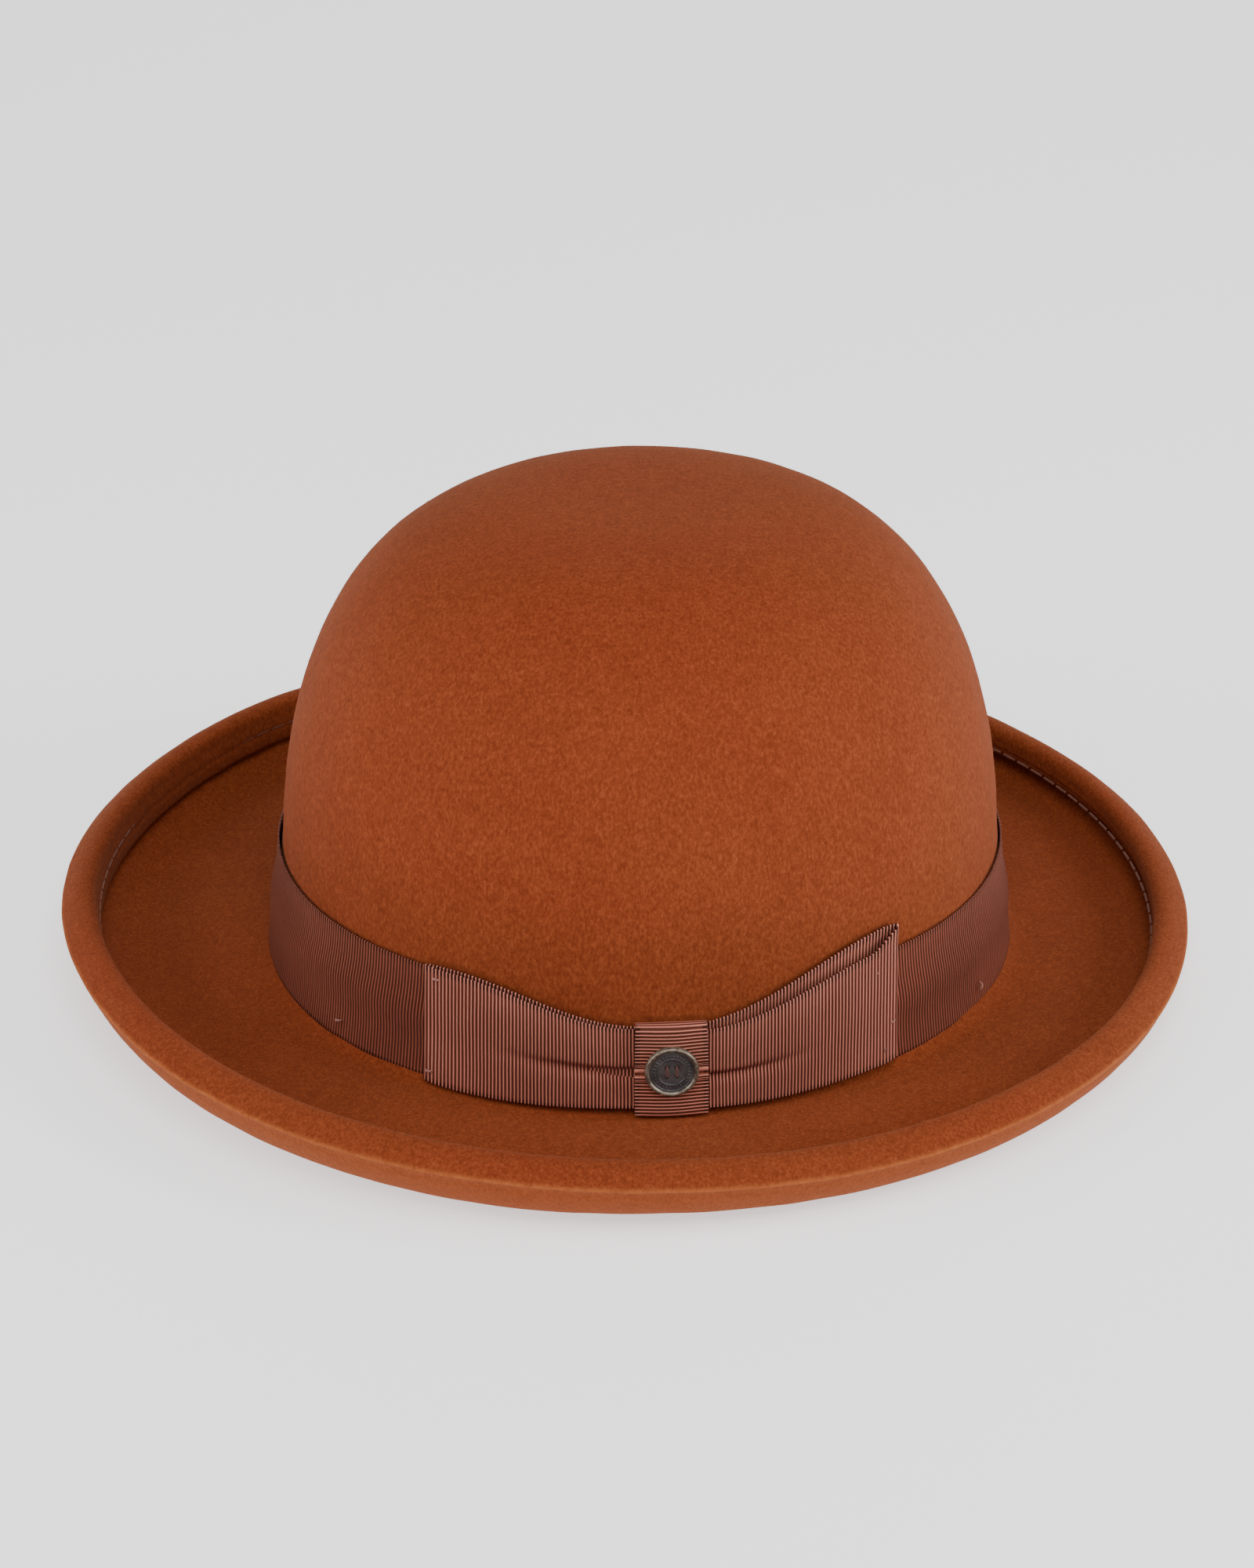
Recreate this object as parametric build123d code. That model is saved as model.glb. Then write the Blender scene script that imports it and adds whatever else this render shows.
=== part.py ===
from build123d import *
import math
import os

# Bowler hat of stiffened wool felt. Millimetres, +Z up.
# The origin is the centre of the brim's oval on the plane that the brim rests on.
# +X is the long axis of the head oval, the wearer's front is -X, and the bow is on the -Y side.

# Driving dimensions
HEAD_CIRCUMFERENCE = 570.0  # inside the sweatband, size 57
HEAD_RATIO = 0.84  # short semi-axis over long semi-axis of the head oval
FELT = 2.6
LEATHER = 0.9
SATIN = 0.3
RIBBON = 0.7
PLAY = 0.1  # air between layers that lie on each other
CROWN_HEIGHT = 136.0
CROWN_SHIFT = 3.5  # the crown sits this far behind the middle of the brim
DOME_START = 20.0
DOME_RISE_POWER = 2.28
DOME_ROUND_POWER = 3.36
CROWN_FLARE = 4.8  # how far the crown opens out at the brim
FLARE_TOP = 40.0
BRIM_LONG = 153.9  # semi-axes of the brim's outermost edge
BRIM_SHORT = 138.5
BRIM_PATH_INSET = 33.9  # the oval that carries the brim's profile is this far inside that edge
BRIM_ROOT = -26.0  # the profile starts this far inside its carrying oval, within the crown wall
CURL_RADIUS = 19.0
CURL_SWING = 5.0  # how much the curl radius grows to the front and shrinks to the back
CURL_SLOPE = 75.0
RIDGE_RISE = 1.7  # straight run from the end of the curl to the ridge
FLAP_SLOPE = 47.0  # place on the curl where the turned-in edge ends
FLAP_STAND_OFF = 1.2  # the cut edge stands this far off the brim
BAND_BOTTOM = 3.9
BAND_TOP = 36.4
BAND_PINCHED_TOP = 27.0  # the band is gathered under the knot
BOW_MIDDLE = 7.8
BOW_LEFT_END = -54.5
BOW_RIGHT_END = 68.5
BOW_LEFT_TOP = 37.5
BOW_RIGHT_TOP = 45.5
BOW_BOTTOM = 4.2
LOOP_THICKNESS = 2.2
KNOT_WIDTH = 18.8
KNOT_BOTTOM = 3.8
KNOT_TOP = 28.8
BUTTON_HEIGHT = 17.2  # height of the button's centre
BUTTON_DIAMETER = 14.0
BUTTON_THICKNESS = 2.4
BUTTON_FACE_DIAMETER = 11.2
BUTTON_FACE_DEPTH = 0.6
BUTTON_HOLE_DIAMETER = 1.3
BUTTON_HOLE_PITCH = 2.5
WIRE_DIAMETER = 1.6
WIRE_PLACE = Vector(-4.6, 0.3)  # centre of the wire from the ridge, in the brim's profile
FERRULE_DIAMETER = 2.4
FERRULE_LENGTH = 16.0
THREAD = 0.5
EDGE_STITCHES = 150
SWEATBAND_STITCHES = 110
SWEATBAND_BOTTOM = 2.5
SWEATBAND_TOP = 40.0
REED_DIAMETER = 1.8
LINING_BOTTOM = 22.0
LINING_SEAM = 116.0
PIPING_DIAMETER = 1.6
SEWN_BOW_HEIGHT = 20.0  # centre of the small bow inside the back
LABEL_SIZE = (46.0, 30.0, 0.4)
TAB_SIZE = (16.0, 11.0)

# The head oval: a long semi-axis whose ellipse has the head's circumference
OVAL_PERIMETER_FACTOR = math.pi * (
    3 * (1 + HEAD_RATIO) - math.sqrt((3 + HEAD_RATIO) * (1 + 3 * HEAD_RATIO))
)
HEAD_LONG = HEAD_CIRCUMFERENCE / OVAL_PERIMETER_FACTOR

# Layers inside the crown, as insets from its outer face
LINING_INSET = FELT + PLAY
SWEATBAND_INSET = LINING_INSET + SATIN + PLAY
SWEATBAND_FACE = SWEATBAND_INSET + LEATHER
CROWN_LONG = HEAD_LONG + SWEATBAND_FACE - CROWN_FLARE
CROWN_CENTRE = Pos(CROWN_SHIFT, 0, 0)

# Layers outside the crown, as distances out from its outer face
BAND_FACE = PLAY + RIBBON
KNOT_BACK = BAND_FACE + PLAY
PINCHED_BACK = KNOT_BACK + RIBBON + PLAY
LOOP_FACE = KNOT_BACK + LOOP_THICKNESS
KNOT_FRONT = LOOP_FACE + PLAY
KNOT_FACE = KNOT_FRONT + RIBBON

# The brim's profile is carried round this oval
PATH_LONG = BRIM_LONG - BRIM_PATH_INSET
PATH_SHORT = BRIM_SHORT - BRIM_PATH_INSET


def dome_scale(z, height):
    """Share of the full oval that the crown still has at a height."""
    up = max(0.0, min(1.0, (z - DOME_START) / (height - DOME_START)))
    return (1 - up**DOME_RISE_POWER) ** (1 / DOME_ROUND_POWER)


def flare(z):
    """Extra reach of the crown's lower wall, which opens out to the brim."""
    return CROWN_FLARE * max(0.0, (FLARE_TOP - z) / FLARE_TOP) ** 1.3


def wall_long(z, inset):
    """Long semi-axis of the crown wall at a height, inset from the outer face."""
    height = CROWN_HEIGHT - inset
    return (CROWN_LONG - inset) * dome_scale(z, height) + flare(z)


def crown_solid(inset, bottom):
    """The crown as a filled solid, inset by a thickness from the outer face."""
    height = CROWN_HEIGHT - inset
    ratio = (CROWN_LONG * HEAD_RATIO - inset) / (CROWN_LONG - inset)
    heights = [bottom, 5, 10, 15, 20, 28, 36]
    dome = [DOME_START + (height - DOME_START) * math.sin(math.radians(a)) for a in range(15, 88, 6)]
    wall = [(wall_long(z, inset), z) for z in heights + dome]
    outline = Spline(wall + [(0, height)], tangents=[(-0.3, 1), (-1, 0)])
    closing = Polyline((0, height), (0, bottom), (wall_long(bottom, inset), bottom))
    face = make_face(Plane.XZ * (Curve() + [outline, closing]))
    solid = revolve(face, Axis.Z)
    return CROWN_CENTRE * scale(solid, by=(1, ratio, 1), about=(0, 0, 0))


def wall_fill(inset, bottom, top):
    """Filled solid between two heights whose side is the crown wall at an inset."""
    steps = 6
    sections = []
    for k in range(steps):
        z = bottom + (top - bottom) * k / (steps - 1)
        spread = flare(z)
        scale_here = dome_scale(z, CROWN_HEIGHT - inset)
        long = (CROWN_LONG - inset) * scale_here + spread
        short = (CROWN_LONG * HEAD_RATIO - inset) * scale_here + spread * HEAD_RATIO
        sections.append(Pos(CROWN_SHIFT, 0, z) * Ellipse(long, short))
    return loft(sections)


def wall_ring(outer_inset, inner_inset, bottom, top):
    """A ring that follows the crown wall between two insets and two heights."""
    return wall_fill(outer_inset, bottom, top) - wall_fill(inner_inset, bottom - PLAY, top + PLAY)


def wall_path(inset, z):
    """Closed oval line that follows the crown wall at an inset."""
    long = wall_long(z, inset)
    short = (CROWN_LONG * HEAD_RATIO - inset) * dome_scale(z, CROWN_HEIGHT - inset) + flare(z) * HEAD_RATIO
    oval = Ellipse(long, short).edge()
    return Pos(CROWN_SHIFT, 0, z) * oval


def wall_plane(x, z, out):
    """Plane on the -Y wall at a place, its z pointing straight out of the wall."""
    long = wall_long(z, -out)
    short = long - (CROWN_LONG - CROWN_LONG * HEAD_RATIO) - flare(z) * (1 - HEAD_RATIO)
    along = (x - CROWN_SHIFT) / long
    y = -short * math.sqrt(1 - along**2)
    normal = Vector(along / long, y / short**2, 0).normalized()
    lean = math.atan((wall_long(z - 5, -out) - wall_long(z + 5, -out)) / 10)
    outward = Vector(normal.X * math.cos(lean), normal.Y * math.cos(lean), math.sin(lean))
    sideways = Vector(-normal.Y, normal.X, 0)
    return Plane(origin=(x, y, z), x_dir=sideways, z_dir=outward)


def front_prism(outline):
    """Upright block over the crown's -Y half with an outline in x and z."""
    face = make_face(Plane.XZ * Polyline(outline, close=True))
    return extrude(face, amount=200, dir=(0, -1, 0))


def round_tube(path, diameter):
    """Round cord or wire along a path."""
    start = Plane(origin=path @ 0, z_dir=path % 0)
    return sweep(start * Circle(diameter / 2), path=path)


def brim_plane(angle):
    """Upright plane across the brim: local x points outward, local y up."""
    turn = math.radians(angle)
    across = Vector(math.cos(turn) / PATH_LONG, math.sin(turn) / PATH_SHORT, 0).normalized()
    along = Vector(-across.Y, across.X, 0)
    point = Vector(PATH_LONG * math.cos(turn), PATH_SHORT * math.sin(turn), 0)
    return Plane(origin=point, x_dir=across, z_dir=-along)


def curl_radius(angle):
    """Radius of the brim's curl, larger at the wearer's front."""
    return CURL_RADIUS - CURL_SWING * math.cos(math.radians(angle))


def brim_points(angle):
    """Centre of the curl and the ridge of the brim's profile, in its upright plane."""
    radius = curl_radius(angle)
    slope = math.radians(CURL_SLOPE)
    reach = radius * math.sin(slope) + RIDGE_RISE / math.tan(slope)
    centre = Vector(BRIM_PATH_INSET - reach, radius)
    ridge = Vector(BRIM_PATH_INSET, radius * (1 - math.cos(slope)) + RIDGE_RISE)
    return centre, ridge


def on_curl(angle, slope, inset):
    """Point of the curl at a slope, inset from its outer face."""
    centre, ridge = brim_points(angle)
    turn = math.radians(slope)
    radius = curl_radius(angle) - inset
    return Vector(centre.X + radius * math.sin(turn), centre.Y - radius * math.cos(turn))


def brim_profile(angle):
    """Flat brim, curl, and the edge turned over inward on itself."""
    centre, ridge = brim_points(angle)
    below = -1.0
    cut_slope = FLAP_SLOPE
    curl_end = on_curl(angle, CURL_SLOPE, 0)
    roll_top = ridge + Vector(-6.6, 4.4)
    roll_side = ridge + Vector(-9.4, 1.2)
    flap_end = on_curl(angle, cut_slope, FELT * 2 + FLAP_STAND_OFF)
    foot = on_curl(angle, cut_slope, FELT)
    flat_top = Vector(centre.X, FELT)
    wire = [
        Polyline((BRIM_ROOT, below), (centre.X, below), (centre.X, 0)),
        ThreePointArc((centre.X, 0), on_curl(angle, CURL_SLOPE / 2, 0), curl_end),
        Line(curl_end, ridge),
        Spline(ridge, roll_top, roll_side, flap_end, tangents=[(-1, 0.45), (-0.35, -1)]),
        Line(flap_end, foot),
        ThreePointArc(foot, on_curl(angle, cut_slope / 2, FELT), flat_top),
        Polyline(flat_top, (BRIM_ROOT, FELT), (BRIM_ROOT, below)),
    ]
    return make_face(brim_plane(angle) * (Curve() + wire))


def rim_path(place, start, end, steps):
    """Line round the brim at a fixed place from the ridge, between two angles."""
    points = []
    for k in range(steps + 1):
        angle = start + (end - start) * k / steps
        centre, ridge = brim_points(angle)
        points.append(brim_plane(angle).from_local_coords(ridge + place))
    return Spline(points)


def both_sides(half):
    """A half on the +Y side with its mirror image."""
    return half + mirror(half, about=Plane.XZ)


def brim_wire():
    """Spring wire ring, pressed between the two layers of the brim's edge."""
    return both_sides(round_tube(rim_path(WIRE_PLACE, 0, 180, 12), WIRE_DIAMETER))


def brim_wire_ferrule():
    """Crimped sleeve over the wire's joint at the back."""
    half_turn = math.degrees(FERRULE_LENGTH / 2 / BRIM_SHORT)
    path = rim_path(WIRE_PLACE, -half_turn, half_turn, 4)
    wall = Circle(FERRULE_DIAMETER / 2) - Circle(WIRE_DIAMETER / 2 + PLAY / 10)
    return sweep(Plane(origin=path @ 0, z_dir=path % 0) * wall, path=path)


def brim_ring():
    """The brim, from under the crown wall to its turned edge."""
    return both_sides(loft([brim_profile(angle) for angle in range(0, 181, 15)]))


def felt_body():
    """Crown and brim pressed from one felt, hollowed for the head."""
    body = crown_solid(0, -1.0) + brim_ring() - crown_solid(FELT, -1.5)
    return body - Pos(0, 0, -5) * Box(400, 400, 10)


def brim_edge_stitching():
    """One row of stitches through the turned-in edge."""
    stitches = []
    for k in range(EDGE_STITCHES):
        angle = 360 * k / EDGE_STITCHES
        centre, ridge = brim_points(angle)
        place = ridge + Vector(-9.9, -2.4)
        stitches.append(brim_plane(angle) * Pos(place.X, place.Y, 0) * Box(THREAD, THREAD, 4.4))
    return stitches


def hat_band():
    """Ribbon round the crown, gathered to the knot's height at the bow."""
    ring = wall_ring(-BAND_FACE, -PLAY, BAND_BOTTOM, BAND_TOP)
    half = KNOT_WIDTH / 2
    dip = [
        (BOW_LEFT_END + 8, BAND_TOP + 1),
        (BOW_MIDDLE - half, BAND_PINCHED_TOP),
        (BOW_MIDDLE + half, BAND_PINCHED_TOP),
        (BOW_RIGHT_END - 18, BAND_TOP + 1),
    ]
    return ring - front_prism(dip)


def bow_loop(end, end_top):
    """Folded ribbon loop from the bow's end to its middle, thinner inside the knot."""
    side = 1 if end > BOW_MIDDLE else -1
    knot_side = BOW_MIDDLE + side * (KNOT_WIDTH / 2 + PLAY)
    middle = BOW_MIDDLE + side * PLAY / 2
    full = wall_ring(-LOOP_FACE, -KNOT_BACK, BOW_BOTTOM - 1, BOW_RIGHT_TOP + 1)
    pinched = wall_ring(-LOOP_FACE, -PINCHED_BACK, BOW_BOTTOM - 1, BOW_RIGHT_TOP + 1)
    low = BOW_BOTTOM + RIBBON + PLAY
    high = KNOT_TOP - RIBBON - PLAY
    leaf = [(end, BOW_BOTTOM), (end, end_top), (knot_side, high), (knot_side, low)]
    neck = [(knot_side, low), (knot_side, high), (middle, high), (middle, low)]
    return (full & front_prism(leaf)) + (pinched & front_prism(neck))


def bow_knot():
    """Short ribbon wrapped round the middle of the bow."""
    left = BOW_MIDDLE - KNOT_WIDTH / 2
    right = BOW_MIDDLE + KNOT_WIDTH / 2
    low = KNOT_BOTTOM + RIBBON
    high = KNOT_TOP - RIBBON
    block = wall_ring(-KNOT_FACE, -KNOT_BACK, KNOT_BOTTOM - 1, KNOT_TOP + 1)
    block = block & front_prism([(left, KNOT_BOTTOM), (left, KNOT_TOP), (right, KNOT_TOP), (right, KNOT_BOTTOM)])
    inside = wall_ring(-KNOT_FRONT, -(KNOT_BACK + RIBBON), low - 1, high + 1)
    inside = inside & front_prism([(left - 1, low), (left - 1, high), (right + 1, high), (right + 1, low)])
    return block - inside


def button_plane():
    """Plane of the button's back, on the face of the knot."""
    return wall_plane(BOW_MIDDLE, BUTTON_HEIGHT, KNOT_FACE + 3 * PLAY)


def button():
    """Four-hole metal button with a rounded rim and a sunk face."""
    body = extrude(Circle(BUTTON_DIAMETER / 2), amount=BUTTON_THICKNESS)
    sunk = extrude(Circle(BUTTON_FACE_DIAMETER / 2), amount=BUTTON_FACE_DEPTH)
    body = body - Pos(0, 0, BUTTON_THICKNESS - BUTTON_FACE_DEPTH) * sunk
    body = fillet(body.edges().group_by(Axis.Z)[-1], 0.55)
    for place in GridLocations(BUTTON_HOLE_PITCH, BUTTON_HOLE_PITCH, 2, 2):
        body = body - place * Cylinder(BUTTON_HOLE_DIAMETER / 2, 3 * BUTTON_THICKNESS)
    return button_plane() * body


def button_thread():
    """Sewing thread through the button's holes, in two bars on its face."""
    face = BUTTON_THICKNESS - BUTTON_FACE_DEPTH
    bars = []
    for x in (-BUTTON_HOLE_PITCH / 2, BUTTON_HOLE_PITCH / 2):
        bar = Pos(x, 0, face + THREAD / 2) * Box(2 * THREAD, BUTTON_HOLE_PITCH + THREAD, THREAD)
        for y in (-BUTTON_HOLE_PITCH / 2, BUTTON_HOLE_PITCH / 2):
            bar = bar + Pos(x, y, 0) * extrude(Circle(THREAD), amount=face + THREAD / 2)
        bars.append(button_plane() * bar)
    return bars


def band_tacks():
    """Small stitches that hold the band, and the loops, to the crown."""
    places = [
        (-77.5, 10.0, BAND_FACE),
        (92.0, 10.0, BAND_FACE),
        (-52.5, 35.0, LOOP_FACE),
        (-52.5, 8.0, LOOP_FACE),
        (61.5, 35.5, LOOP_FACE),
        (66.5, 17.5, LOOP_FACE),
        (63.5, 11.0, LOOP_FACE),
    ]
    return [wall_plane(x, z, out + 0.45) * Box(2.4, THREAD, THREAD) for x, z, out in places]


def sweatband():
    """Leather band that sits on the head, turned up inside the crown."""
    return wall_ring(SWEATBAND_INSET, SWEATBAND_FACE, SWEATBAND_BOTTOM, SWEATBAND_TOP)


def sweatband_reed():
    """Covered reed at the sweatband's lower edge, where it is sewn to the felt."""
    z = SWEATBAND_BOTTOM - REED_DIAMETER / 2 - PLAY
    return round_tube(wall_path(SWEATBAND_INSET + REED_DIAMETER / 2, z), REED_DIAMETER)


def sweatband_stitching():
    """Row of stitches along the sweatband's lower edge."""
    z = SWEATBAND_BOTTOM + 1.2
    path = wall_path(SWEATBAND_FACE + THREAD / 2 + PLAY, z)
    stitches = []
    for k in range(SWEATBAND_STITCHES):
        share = (k + 0.5) / SWEATBAND_STITCHES
        place = Plane(origin=path @ share, x_dir=path % share, z_dir=(0, 0, 1))
        stitches.append(place * Box(3.4, THREAD, THREAD))
    return stitches


def back_prism(outline):
    """Block over the crown's +X end with an outline in y and z."""
    face = make_face(Plane.YZ * Polyline(outline, close=True))
    return extrude(face, amount=200, dir=(1, 0, 0))


def sweatband_bow():
    """Small flat ribbon bow sewn inside the back of the sweatband."""
    z = SEWN_BOW_HEIGHT
    ring = wall_ring(SWEATBAND_FACE + PLAY, SWEATBAND_FACE + 1.3, z - 8, z + 8)
    knot_ring = wall_ring(SWEATBAND_FACE + PLAY, SWEATBAND_FACE + 1.9, z - 8, z + 8)
    left = back_prism([(-11, z - 4.5), (-11, z + 4.5), (0, z + 1.5), (0, z - 1.5)])
    right = back_prism([(11, z - 4.5), (11, z + 4.5), (0, z + 1.5), (0, z - 1.5)])
    knot = back_prism([(-2, z - 2.4), (-2, z + 2.4), (2, z + 2.4), (2, z - 2.4)])
    return (ring & (left + right)) + (knot_ring & knot)


def lining_shell():
    """Satin that lies against the inside of the whole crown."""
    return crown_solid(LINING_INSET, -1.0) - crown_solid(LINING_INSET + SATIN, -2.0)


def lining_side():
    """Side of the lining, from behind the sweatband to the seam."""
    middle = (LINING_BOTTOM + LINING_SEAM) / 2
    return lining_shell() & Pos(0, 0, middle) * Box(400, 400, LINING_SEAM - LINING_BOTTOM)


def lining_tip():
    """Oval tip of the lining, above the seam."""
    return lining_shell() & Pos(0, 0, LINING_SEAM + PLAY + 25) * Box(400, 400, 50)


def lining_piping():
    """Corded piping round the seam of the lining."""
    radius = PIPING_DIAMETER / 2
    return round_tube(wall_path(LINING_INSET + SATIN + radius + 4 * PLAY, LINING_SEAM), PIPING_DIAMETER)


def woven_label():
    """Blank label on the middle of the lining's tip."""
    z = CROWN_HEIGHT - LINING_INSET - SATIN - 1.2
    return Pos(CROWN_SHIFT, 0, z) * Box(*LABEL_SIZE)


def size_tab():
    """Blank size tab stuck inside the sweatband on the wearer's left."""
    z = SEWN_BOW_HEIGHT
    width, height = TAB_SIZE
    ring = wall_ring(SWEATBAND_FACE + PLAY, SWEATBAND_FACE + PLAY + SATIN, z - height, z + height)
    corners = [(-1, -1), (-1, 1), (1, 1), (1, -1)]
    outline = [(60 + across * width / 2, z + up * height / 2) for across, up in corners]
    return ring & front_prism(outline)


def main():
    """Write every sub-part as its own file."""
    nodes = {
        "felt_body": felt_body(),
        "brim_wire": brim_wire(),
        "brim_wire_ferrule": brim_wire_ferrule(),
        "brim_edge_stitching": brim_edge_stitching(),
        "hat_band": hat_band(),
        "bow_left_loop": bow_loop(BOW_LEFT_END, BOW_LEFT_TOP),
        "bow_right_loop": bow_loop(BOW_RIGHT_END, BOW_RIGHT_TOP),
        "bow_knot": bow_knot(),
        "button": button(),
        "button_thread": button_thread(),
        "band_tacks": band_tacks(),
        "sweatband": sweatband(),
        "sweatband_reed": sweatband_reed(),
        "sweatband_stitching": sweatband_stitching(),
        "sweatband_bow": sweatband_bow(),
        "lining_side": lining_side(),
        "lining_tip": lining_tip(),
        "lining_piping": lining_piping(),
        "woven_label": woven_label(),
        "size_tab": size_tab(),
    }
    os.makedirs("parts", exist_ok=True)
    for name, shape in nodes.items():
        solid = Compound(children=list(shape)) if isinstance(shape, list) else shape
        export_step(solid, f"parts/{name}.step")


main()
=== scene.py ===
import bisect
import math
import random
import bpy
from mathutils import Matrix, Vector, noise


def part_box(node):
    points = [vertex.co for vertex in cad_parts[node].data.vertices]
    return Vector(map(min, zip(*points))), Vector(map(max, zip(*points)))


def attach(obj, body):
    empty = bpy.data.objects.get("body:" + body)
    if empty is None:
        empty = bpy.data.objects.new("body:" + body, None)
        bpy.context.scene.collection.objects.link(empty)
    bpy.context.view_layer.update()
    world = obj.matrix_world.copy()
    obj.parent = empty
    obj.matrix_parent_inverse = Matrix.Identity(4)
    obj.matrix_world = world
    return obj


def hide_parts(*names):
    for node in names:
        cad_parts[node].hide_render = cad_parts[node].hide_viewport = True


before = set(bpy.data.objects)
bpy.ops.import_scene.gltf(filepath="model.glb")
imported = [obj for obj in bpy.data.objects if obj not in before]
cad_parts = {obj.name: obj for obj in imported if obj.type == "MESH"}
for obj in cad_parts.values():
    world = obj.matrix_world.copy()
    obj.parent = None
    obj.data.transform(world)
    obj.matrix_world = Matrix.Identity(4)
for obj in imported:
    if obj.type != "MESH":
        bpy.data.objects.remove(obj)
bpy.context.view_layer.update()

MM = 0.001


# Camera: a little above the hat, on its left side, with a long lens.
# The wearer's front is to the left of the view.
CAMERA_PLACE = Vector((-36.3, -887.7, 579.3)) * MM
CAMERA_TURN = math.radians(-2.57)
CAMERA_DIP = math.radians(30.38)
CAMERA_ROLL = math.radians(0.25)
camera_data = bpy.data.cameras.new("camera")
camera_data.sensor_fit = "VERTICAL"
camera_data.sensor_height = 36
camera_data.lens = 87.8
camera_data.shift_x = -0.0087
camera_data.shift_y = -0.0183
camera = bpy.data.objects.new("camera", camera_data)
bpy.context.collection.objects.link(camera)
turned = Matrix.Rotation(CAMERA_TURN, 4, "Z") @ Matrix.Rotation(math.pi / 2 - CAMERA_DIP, 4, "X")
camera.matrix_world = Matrix.Translation(CAMERA_PLACE) @ turned @ Matrix.Rotation(CAMERA_ROLL, 4, "Z")
bpy.context.scene.camera = camera


# Studio: a pale sweep of floor, a large soft light on the right, a weaker one on the left,
# and a low overall light that fills the brim's underside.
def soft_light(name, place, size, power):
    """Square area light that faces the middle of the hat."""
    data = bpy.data.lights.new(name, "AREA")
    data.size = size
    data.energy = power
    light = bpy.data.objects.new(name, data)
    bpy.context.collection.objects.link(light)
    light.location = place
    aim = Vector((0, 0, 0.05)) - Vector(place)
    light.rotation_euler = aim.to_track_quat("-Z", "Y").to_euler()


soft_light("light_right", (1.25, -0.35, 0.62), 0.75, 13.5)
soft_light("light_left", (-1.25, -0.45, 0.6), 0.8, 10)
soft_light("light_front", (0.1, -1.3, 0.6), 0.6, 1.2)
soft_light("light_top", (0.05, -0.75, 1.35), 0.8, 11)
soft_light("light_back", (0.2, 1.3, 0.9), 0.9, 4)
world = bpy.data.worlds.new("studio")
world.use_nodes = True
world.node_tree.nodes["Background"].inputs["Color"].default_value = (1, 1, 1, 1)
world.node_tree.nodes["Background"].inputs["Strength"].default_value = 0.34
bpy.context.scene.world = world
bpy.ops.object.select_all(action="DESELECT")
bpy.ops.mesh.primitive_plane_add(size=8, location=(0, 0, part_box("felt_body")[0][2] - 0.0002))
floor = bpy.context.object
floor.name = "studio_floor"
floor_material = bpy.data.materials.new("pale_floor")
floor_material.use_nodes = True
floor_shader = floor_material.node_tree.nodes["Principled BSDF"]
floor_shader.inputs["Base Color"].default_value = (0.93, 0.93, 0.93, 1)
floor_shader.inputs["Roughness"].default_value = 0.9
floor_shader.inputs["Emission Color"].default_value = (1, 1, 1, 1)
floor_shader.inputs["Emission Strength"].default_value = 0.85
floor.data.materials.append(floor_material)


# Felt body: the crown and brim of one stiffened wool felt, pressed on an oval block.
# The brim curls up at its edge, which is turned over inward round a wire and stitched down.
FELT = 2.6 * MM
CROWN_SHIFT = 3.5 * MM
HEAD_RATIO = 0.84
CROWN_LONG = 97.5 * MM
CROWN_FLARE = 4.8 * MM
FLARE_TOP = 40 * MM
DOME_START = 20 * MM
DOME_RISE_POWER = 2.28
DOME_ROUND_POWER = 3.36
felt_low, felt_high = [Vector(corner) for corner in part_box("felt_body")]
CROWN_HEIGHT = felt_high.z
BRIM_LONG = (felt_high.x - felt_low.x) / 2
BRIM_SHORT = (felt_high.y - felt_low.y) / 2
BRIM_PATH_INSET = 33.9 * MM
PATH_LONG = BRIM_LONG - BRIM_PATH_INSET
PATH_SHORT = BRIM_SHORT - BRIM_PATH_INSET
CURL_RADIUS = 19 * MM
CURL_SWING = 5 * MM
CURL_SLOPE = math.radians(75)
RIDGE_RISE = 1.7 * MM
FLAP_SLOPE = math.radians(47)
UNDERCUT_SLOPE = math.radians(63)
FOOT_RADIUS = 4.6 * MM  # rounding where the crown meets the brim's top
MOUTH_RADIUS = 2.6 * MM  # rounding of the head opening's edge
ROLL_START = (-9.6, 1.0)  # the roll of the turned edge, from the ridge, in millimetres
ROLL_TOP = (-6.6, 4.4)
ROLL_END = (-0.35, 0.75)
FLOOR_GAP = 0.02 * MM  # the brim lies flat where it rests
NOISE_SEED = 5


def dome_scale(z, height):
    """Share of the full oval that the crown still has at a height."""
    up = max(0.0, min(1.0, (z - DOME_START) / (height - DOME_START)))
    return (1 - up**DOME_RISE_POWER) ** (1 / DOME_ROUND_POWER)


def flare(z):
    """Extra reach of the crown's lower wall, which opens out to the brim."""
    return CROWN_FLARE * max(0.0, (FLARE_TOP - z) / FLARE_TOP) ** 1.3


def outward(turn):
    """Level direction at an angle round the hat."""
    return Vector((math.cos(turn), math.sin(turn), 0))


def wall_point(turn, z, out):
    """Point of the crown wall at an angle and height, out from its outer face."""
    share = dome_scale(z, CROWN_HEIGHT + out)
    long = (CROWN_LONG + out) * share + flare(z)
    short = (CROWN_LONG * HEAD_RATIO + out) * share + flare(z) * HEAD_RATIO
    return Vector((CROWN_SHIFT + long * math.cos(turn), short * math.sin(turn), z))


def brim_point(turn, out, z):
    """Point of the brim at an angle, out from the oval that carries its profile."""
    across = Vector((math.cos(turn) / PATH_LONG, math.sin(turn) / PATH_SHORT, 0)).normalized()
    start = Vector((PATH_LONG * math.cos(turn), PATH_SHORT * math.sin(turn), z))
    return start + across * out


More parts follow.
